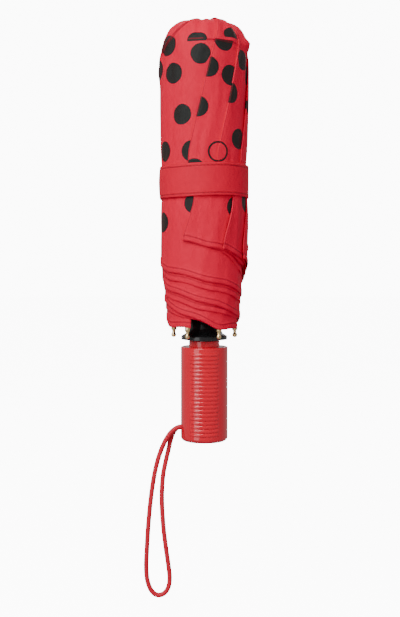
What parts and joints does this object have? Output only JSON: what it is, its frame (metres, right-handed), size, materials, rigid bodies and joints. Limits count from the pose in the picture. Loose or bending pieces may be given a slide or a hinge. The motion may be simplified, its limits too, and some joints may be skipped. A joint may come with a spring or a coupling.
{
  "type": "folding umbrella",
  "caption": "Compact three-fold umbrella, furled and strapped: telescoping shaft, folding ribs, runner, crown, cloth canopy, glossy grip and a wrist cord.",
  "frame": {"origin": "centre of the handle's grip, on the shaft's axis", "axes": "+Z along the shaft, from the handle to the cap; -Y is the front, and +X is to the right seen from the front, so the wrist cord leaves the handle on the -X side"},
  "size_m": [0.0695, 0.0605, 0.3796],
  "materials": {
    "red_gloss": "high gloss moulded plastic",
    "red_cord": "round braided cord",
    "red_cloth": "fine plain-weave cloth printed with black spots",
    "strap_cloth": "doubled cloth band, stitched along both edges",
    "black_plastic": "glossy moulded plastic",
    "gold": "polished gold-coloured plating",
    "rib_metal": "satin black coated channel",
    "shaft_steel": "plated steel"
  },
  "bodies": {
    "handle": {"handle_grip": "red_gloss", "handle_core": "red_gloss", "handle_pin": "shaft_steel", "cord_knot": "red_cord", "wrist_cord": "red_cord", "lower_tube": "shaft_steel"},
    "middle_shaft": {"middle_tube": "shaft_steel"},
    "upper_shaft": {"upper_tube": "shaft_steel", "crown": "black_plastic", "crown_wire": "shaft_steel", "top_cap": "black_plastic", "canopy": "red_cloth", "closing_strap": "strap_cloth", "strap_snap": "gold"},
    "runner": {"runner": "black_plastic"},
    "runner_catch": {"runner_catch": "shaft_steel"},
    "top_rib_1": {"top_rib_1": "rib_metal"},
    "middle_rib_1": {"middle_rib_1": "rib_metal"},
    "strut_1": {"strut_1": "rib_metal"},
    "link_1": {"link_1": "rib_metal"},
    "outer_rib_1": {"outer_rib_1": "rib_metal", "rib_tip_1": "gold"},
    "top_rib_2": {"top_rib_2": "rib_metal"},
    "middle_rib_2": {"middle_rib_2": "rib_metal"},
    "strut_2": {"strut_2": "rib_metal"},
    "link_2": {"link_2": "rib_metal"},
    "outer_rib_2": {"outer_rib_2": "rib_metal", "rib_tip_2": "gold"},
    "top_rib_3": {"top_rib_3": "rib_metal"},
    "middle_rib_3": {"middle_rib_3": "rib_metal"},
    "strut_3": {"strut_3": "rib_metal"},
    "link_3": {"link_3": "rib_metal"},
    "outer_rib_3": {"outer_rib_3": "rib_metal", "rib_tip_3": "gold"},
    "top_rib_4": {"top_rib_4": "rib_metal"},
    "middle_rib_4": {"middle_rib_4": "rib_metal"},
    "strut_4": {"strut_4": "rib_metal"},
    "link_4": {"link_4": "rib_metal"},
    "outer_rib_4": {"outer_rib_4": "rib_metal", "rib_tip_4": "gold"},
    "top_rib_5": {"top_rib_5": "rib_metal"},
    "middle_rib_5": {"middle_rib_5": "rib_metal"},
    "strut_5": {"strut_5": "rib_metal"},
    "link_5": {"link_5": "rib_metal"},
    "outer_rib_5": {"outer_rib_5": "rib_metal", "rib_tip_5": "gold"},
    "top_rib_6": {"top_rib_6": "rib_metal"},
    "middle_rib_6": {"middle_rib_6": "rib_metal"},
    "strut_6": {"strut_6": "rib_metal"},
    "link_6": {"link_6": "rib_metal"},
    "outer_rib_6": {"outer_rib_6": "rib_metal", "rib_tip_6": "gold"},
    "inner_fold_left": {"inner_fold_left": "red_cloth"},
    "inner_fold_right": {"inner_fold_right": "red_cloth"},
    "middle_fold_left": {"middle_fold_left": "red_cloth"},
    "middle_fold_right": {"middle_fold_right": "red_cloth"},
    "outer_fold_left": {"outer_fold_left": "red_cloth"},
    "outer_fold_right": {"outer_fold_right": "red_cloth"}
  },
  "joints": [
    {"name": "middle_tube_slide", "type": "slide", "parent": "handle", "child": "middle_shaft", "axis": [0, 0, 1], "range_m": [0, 0.165]},
    {"name": "upper_tube_slide", "type": "slide", "parent": "middle_shaft", "child": "upper_shaft", "axis": [0, 0, 1], "range_m": [0, 0.165]},
    {"name": "runner_slide", "type": "slide", "parent": "upper_shaft", "child": "runner", "axis": [0, 0, 1], "range_m": [0, 0.11144], "deforming": ["canopy", "closing_strap", "strap_snap", "inner_fold_left", "inner_fold_right", "middle_fold_left", "middle_fold_right", "outer_fold_left", "outer_fold_right"]},
    {"name": "catch_press", "type": "slide", "parent": "upper_shaft", "child": "runner_catch", "axis": [0, -1, 0], "range_m": [0, 0.00115], "stiffness_N_per_m": 500},
    {"name": "top_rib_hinge_1", "type": "hinge", "parent": "upper_shaft", "child": "top_rib_1", "pos_m": [-0.0045, 0.00779, 0.231], "axis": [0.866, 0.5, 0], "range_deg": [0, 74.99]},
    {"name": "knee_hinge_1", "type": "hinge", "parent": "top_rib_1", "child": "middle_rib_1", "pos_m": [-0.006, 0.01039, 0.06], "axis": [0.866, 0.5, 0], "range_deg": [-188, 0]},
    {"name": "elbow_hinge_1", "type": "hinge", "parent": "middle_rib_1", "child": "outer_rib_1", "pos_m": [-0.0075, 0.01299, 0.233], "axis": [0.866, 0.5, 0], "range_deg": [0, 166.47]},
    {"name": "strut_hinge_1", "type": "hinge", "parent": "top_rib_1", "child": "strut_1", "pos_m": [-0.00514, 0.00891, 0.15751], "axis": [0.866, 0.5, 0], "range_deg": [-149.99, 0]},
    {"name": "link_hinge_1", "type": "hinge", "parent": "middle_rib_1", "child": "link_1", "pos_m": [-0.00592, 0.01025, 0.0505], "axis": [0.866, 0.5, 0], "range_deg": [0, 191.73]},
    {"name": "top_rib_hinge_2", "type": "hinge", "parent": "upper_shaft", "child": "top_rib_2", "pos_m": [-0.009, 0, 0.231], "axis": [0, 1, 0], "range_deg": [0, 74.99]},
    {"name": "knee_hinge_2", "type": "hinge", "parent": "top_rib_2", "child": "middle_rib_2", "pos_m": [-0.012, 0, 0.06], "axis": [0, 1, 0], "range_deg": [-188, 0]},
    {"name": "elbow_hinge_2", "type": "hinge", "parent": "middle_rib_2", "child": "outer_rib_2", "pos_m": [-0.015, 0, 0.233], "axis": [0, 1, 0], "range_deg": [0, 166.47]},
    {"name": "strut_hinge_2", "type": "hinge", "parent": "top_rib_2", "child": "strut_2", "pos_m": [-0.01029, 0, 0.15751], "axis": [0, 1, 0], "range_deg": [-149.99, 0]},
    {"name": "link_hinge_2", "type": "hinge", "parent": "middle_rib_2", "child": "link_2", "pos_m": [-0.01184, 0, 0.0505], "axis": [0, 1, 0], "range_deg": [0, 191.73]},
    {"name": "top_rib_hinge_3", "type": "hinge", "parent": "upper_shaft", "child": "top_rib_3", "pos_m": [-0.0045, -0.00779, 0.231], "axis": [-0.866, 0.5, 0], "range_deg": [0, 74.99]},
    {"name": "knee_hinge_3", "type": "hinge", "parent": "top_rib_3", "child": "middle_rib_3", "pos_m": [-0.006, -0.01039, 0.06], "axis": [-0.866, 0.5, 0], "range_deg": [-188, 0]},
    {"name": "elbow_hinge_3", "type": "hinge", "parent": "middle_rib_3", "child": "outer_rib_3", "pos_m": [-0.0075, -0.01299, 0.233], "axis": [-0.866, 0.5, 0], "range_deg": [0, 166.47]},
    {"name": "strut_hinge_3", "type": "hinge", "parent": "top_rib_3", "child": "strut_3", "pos_m": [-0.00514, -0.00891, 0.15751], "axis": [-0.866, 0.5, 0], "range_deg": [-149.99, 0]},
    {"name": "link_hinge_3", "type": "hinge", "parent": "middle_rib_3", "child": "link_3", "pos_m": [-0.00592, -0.01025, 0.0505], "axis": [-0.866, 0.5, 0], "range_deg": [0, 191.73]},
    {"name": "top_rib_hinge_4", "type": "hinge", "parent": "upper_shaft", "child": "top_rib_4", "pos_m": [0.0045, -0.00779, 0.231], "axis": [-0.866, -0.5, 0], "range_deg": [0, 74.99]},
    {"name": "knee_hinge_4", "type": "hinge", "parent": "top_rib_4", "child": "middle_rib_4", "pos_m": [0.006, -0.01039, 0.06], "axis": [-0.866, -0.5, 0], "range_deg": [-188, 0]},
    {"name": "elbow_hinge_4", "type": "hinge", "parent": "middle_rib_4", "child": "outer_rib_4", "pos_m": [0.0075, -0.01299, 0.233], "axis": [-0.866, -0.5, 0], "range_deg": [0, 166.47]},
    {"name": "strut_hinge_4", "type": "hinge", "parent": "top_rib_4", "child": "strut_4", "pos_m": [0.00514, -0.00891, 0.15751], "axis": [-0.866, -0.5, 0], "range_deg": [-149.99, 0]},
    {"name": "link_hinge_4", "type": "hinge", "parent": "middle_rib_4", "child": "link_4", "pos_m": [0.00592, -0.01025, 0.0505], "axis": [-0.866, -0.5, 0], "range_deg": [0, 191.73]},
    {"name": "top_rib_hinge_5", "type": "hinge", "parent": "upper_shaft", "child": "top_rib_5", "pos_m": [0.009, 0, 0.231], "axis": [0, -1, 0], "range_deg": [0, 74.99]},
    {"name": "knee_hinge_5", "type": "hinge", "parent": "top_rib_5", "child": "middle_rib_5", "pos_m": [0.012, 0, 0.06], "axis": [0, -1, 0], "range_deg": [-188, 0]},
    {"name": "elbow_hinge_5", "type": "hinge", "parent": "middle_rib_5", "child": "outer_rib_5", "pos_m": [0.015, 0, 0.233], "axis": [0, -1, 0], "range_deg": [0, 166.47]},
    {"name": "strut_hinge_5", "type": "hinge", "parent": "top_rib_5", "child": "strut_5", "pos_m": [0.01029, 0, 0.15751], "axis": [0, -1, 0], "range_deg": [-149.99, 0]},
    {"name": "link_hinge_5", "type": "hinge", "parent": "middle_rib_5", "child": "link_5", "pos_m": [0.01184, 0, 0.0505], "axis": [0, -1, 0], "range_deg": [0, 191.73]},
    {"name": "top_rib_hinge_6", "type": "hinge", "parent": "upper_shaft", "child": "top_rib_6", "pos_m": [0.0045, 0.00779, 0.231], "axis": [0.866, -0.5, 0], "range_deg": [0, 74.99]},
    {"name": "knee_hinge_6", "type": "hinge", "parent": "top_rib_6", "child": "middle_rib_6", "pos_m": [0.006, 0.01039, 0.06], "axis": [0.866, -0.5, 0], "range_deg": [-188, 0]},
    {"name": "elbow_hinge_6", "type": "hinge", "parent": "middle_rib_6", "child": "outer_rib_6", "pos_m": [0.0075, 0.01299, 0.233], "axis": [0.866, -0.5, 0], "range_deg": [0, 166.47]},
    {"name": "strut_hinge_6", "type": "hinge", "parent": "top_rib_6", "child": "strut_6", "pos_m": [0.00514, 0.00891, 0.15751], "axis": [0.866, -0.5, 0], "range_deg": [-149.99, 0]},
    {"name": "link_hinge_6", "type": "hinge", "parent": "middle_rib_6", "child": "link_6", "pos_m": [0.00592, 0.01025, 0.0505], "axis": [0.866, -0.5, 0], "range_deg": [0, 191.73]},
    {"name": "inner_spread_left", "type": "hinge", "parent": "top_rib_1", "child": "inner_fold_left", "pos_m": [-0.00333, 0.00578, 0.23969], "axis": [-0.483, 0.8365, 0.2589], "range_deg": [0, 179]},
    {"name": "inner_spread_right", "type": "hinge", "parent": "top_rib_1", "child": "inner_fold_right", "pos_m": [-0.00333, 0.00578, 0.23969], "axis": [0.483, -0.8365, -0.2589], "range_deg": [0, 179]},
    {"name": "middle_spread_left", "type": "hinge", "parent": "middle_rib_1", "child": "middle_fold_left", "pos_m": [-0.04019, 0.06961, -0.10103], "axis": [0.4602, -0.7971, -0.3908], "range_deg": [0, 179]},
    {"name": "middle_spread_right", "type": "hinge", "parent": "middle_rib_1", "child": "middle_fold_right", "pos_m": [-0.04019, 0.06961, -0.10103], "axis": [-0.4602, 0.7971, 0.3908], "range_deg": [0, 179]},
    {"name": "outer_spread_left", "type": "hinge", "parent": "outer_rib_1", "child": "outer_fold_left", "pos_m": [0.09162, -0.15868, 0.50059], "axis": [-0.4018, 0.6959, 0.5953], "range_deg": [0, 179]},
    {"name": "outer_spread_right", "type": "hinge", "parent": "outer_rib_1", "child": "outer_fold_right", "pos_m": [0.09162, -0.15868, 0.50059], "axis": [0.4018, -0.6959, -0.5953], "range_deg": [0, 179]}
  ],
  "couplings": [
    {"joint": "top_rib_hinge_1", "follows": "runner_slide", "rad_per_m": 11.746},
    {"joint": "knee_hinge_1", "follows": "runner_slide", "rad_per_m": -29.445},
    {"joint": "elbow_hinge_1", "follows": "runner_slide", "rad_per_m": 26.073},
    {"joint": "strut_hinge_1", "follows": "runner_slide", "rad_per_m": -23.491},
    {"joint": "link_hinge_1", "follows": "runner_slide", "rad_per_m": 30.029},
    {"joint": "top_rib_hinge_2", "follows": "runner_slide", "rad_per_m": 11.746},
    {"joint": "knee_hinge_2", "follows": "runner_slide", "rad_per_m": -29.445},
    {"joint": "elbow_hinge_2", "follows": "runner_slide", "rad_per_m": 26.073},
    {"joint": "strut_hinge_2", "follows": "runner_slide", "rad_per_m": -23.491},
    {"joint": "link_hinge_2", "follows": "runner_slide", "rad_per_m": 30.029},
    {"joint": "top_rib_hinge_3", "follows": "runner_slide", "rad_per_m": 11.746},
    {"joint": "knee_hinge_3", "follows": "runner_slide", "rad_per_m": -29.445},
    {"joint": "elbow_hinge_3", "follows": "runner_slide", "rad_per_m": 26.073},
    {"joint": "strut_hinge_3", "follows": "runner_slide", "rad_per_m": -23.491},
    {"joint": "link_hinge_3", "follows": "runner_slide", "rad_per_m": 30.029},
    {"joint": "top_rib_hinge_4", "follows": "runner_slide", "rad_per_m": 11.746},
    {"joint": "knee_hinge_4", "follows": "runner_slide", "rad_per_m": -29.445},
    {"joint": "elbow_hinge_4", "follows": "runner_slide", "rad_per_m": 26.073},
    {"joint": "strut_hinge_4", "follows": "runner_slide", "rad_per_m": -23.491},
    {"joint": "link_hinge_4", "follows": "runner_slide", "rad_per_m": 30.029},
    {"joint": "top_rib_hinge_5", "follows": "runner_slide", "rad_per_m": 11.746},
    {"joint": "knee_hinge_5", "follows": "runner_slide", "rad_per_m": -29.445},
    {"joint": "elbow_hinge_5", "follows": "runner_slide", "rad_per_m": 26.073},
    {"joint": "strut_hinge_5", "follows": "runner_slide", "rad_per_m": -23.491},
    {"joint": "link_hinge_5", "follows": "runner_slide", "rad_per_m": 30.029},
    {"joint": "top_rib_hinge_6", "follows": "runner_slide", "rad_per_m": 11.746},
    {"joint": "knee_hinge_6", "follows": "runner_slide", "rad_per_m": -29.445},
    {"joint": "elbow_hinge_6", "follows": "runner_slide", "rad_per_m": 26.073},
    {"joint": "strut_hinge_6", "follows": "runner_slide", "rad_per_m": -23.491},
    {"joint": "link_hinge_6", "follows": "runner_slide", "rad_per_m": 30.029},
    {"joint": "inner_spread_left", "follows": "runner_slide", "rad_per_m": 28.035},
    {"joint": "inner_spread_right", "follows": "runner_slide", "rad_per_m": 28.035},
    {"joint": "middle_spread_left", "follows": "runner_slide", "rad_per_m": 28.035},
    {"joint": "middle_spread_right", "follows": "runner_slide", "rad_per_m": 28.035},
    {"joint": "outer_spread_left", "follows": "runner_slide", "rad_per_m": 28.035},
    {"joint": "outer_spread_right", "follows": "runner_slide", "rad_per_m": 28.035}
  ]
}
